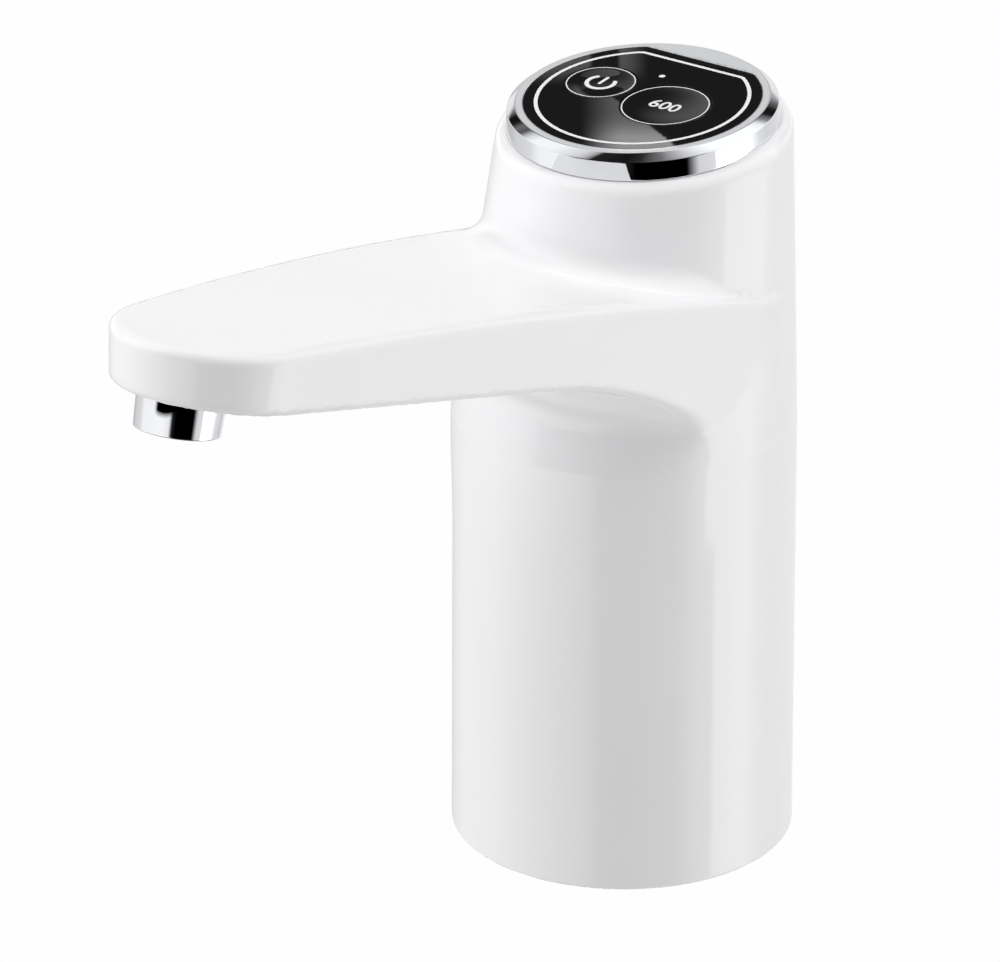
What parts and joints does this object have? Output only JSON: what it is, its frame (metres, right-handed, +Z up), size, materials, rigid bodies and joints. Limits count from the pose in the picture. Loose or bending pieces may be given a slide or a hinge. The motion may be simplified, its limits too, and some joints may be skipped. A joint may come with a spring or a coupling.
{
  "type": "electric water jug pump",
  "caption": "White desktop water jug pump shaped like a basin tap, with a tilted round touch panel, a long spout arm, and battery and pump inside the body.",
  "frame": {"origin": "centre of the whole pump's footprint box, at the body's lower rim", "axes": "+Z up along the body, the spout points to -Y, +X is the reader's right on the control panel"},
  "size_m": [0.074, 0.1962, 0.1673],
  "materials": {
    "white_gloss": "moulded gloss",
    "chrome": "mirror plated",
    "black_gloss": "high gloss",
    "dark_plastic": "fine satin",
    "grey_plastic": "fine satin",
    "clear_plastic": "clear gloss",
    "silicone": "soft matte",
    "black_rubber": "soft matte",
    "steel": "zinc plated",
    "circuit_board": "solder mask",
    "cell_wrap": "shrink sleeve",
    "lamp": "frosted lens"
  },
  "bodies": {
    "housing": {"main_housing": "white_gloss", "spout_cover": "white_gloss", "nozzle_sleeve": "chrome", "aerator_insert": "clear_plastic", "nozzle_seal": "black_rubber", "outlet_elbow": "grey_plastic", "trim_ring": "chrome", "control_panel": "black_gloss", "power_switch": "dark_plastic", "dose_switch": "dark_plastic", "status_light": "lamp", "status_led": "lamp", "button_tray": "dark_plastic", "control_board": "circuit_board", "board_screw_a": "steel", "board_screw_b": "steel", "board_screw_c": "steel", "neck_collar": "grey_plastic", "neck_gasket": "silicone", "seat_pad": "silicone", "collar_screw_a": "steel", "collar_screw_b": "steel", "collar_screw_c": "steel", "inlet_connector": "grey_plastic", "chassis_frame": "grey_plastic", "battery_holder": "dark_plastic", "battery_contact_low": "steel", "battery_cell": "cell_wrap", "battery_contact_high": "steel", "battery_cap": "dark_plastic", "motor_can": "steel", "motor_end_cap": "dark_plastic", "pump_base": "dark_plastic", "diaphragm": "black_rubber", "valve_plate": "grey_plastic", "pump_cap": "dark_plastic", "pump_screw_a": "steel", "pump_screw_b": "steel", "outlet_hose": "silicone", "inlet_hose": "silicone", "usb_socket": "steel", "charge_board": "circuit_board"},
    "power_button": {"power_button": "black_gloss", "power_plunger": "grey_plastic"},
    "dose_button": {"dose_button": "black_gloss", "dose_plunger": "grey_plastic"},
    "rotor": {"rotor": "steel"},
    "swash": {"swash_plate": "grey_plastic"}
  },
  "joints": [
    {"name": "power_press", "type": "slide", "parent": "housing", "child": "power_button", "axis": [0, 0.0906, -0.9959], "range_m": [0, 0.0006], "stiffness_N_per_m": 500},
    {"name": "dose_press", "type": "slide", "parent": "housing", "child": "dose_button", "axis": [0, 0.0906, -0.9959], "range_m": [0, 0.0006], "stiffness_N_per_m": 500},
    {"name": "rotor_spin", "type": "hinge", "parent": "housing", "child": "rotor", "pos_m": [0, 0.04573, 0.08], "axis": [0, 0, 1], "continuous": true},
    {"name": "swash_spin", "type": "hinge", "parent": "rotor", "child": "swash", "pos_m": [0, 0.04573, 0.106], "axis": [0, 0.1466, 0.9892], "continuous": true}
  ],
  "couplings": [
    {"joint": "swash_spin", "follows": "rotor_spin", "ratio": -1}
  ]
}
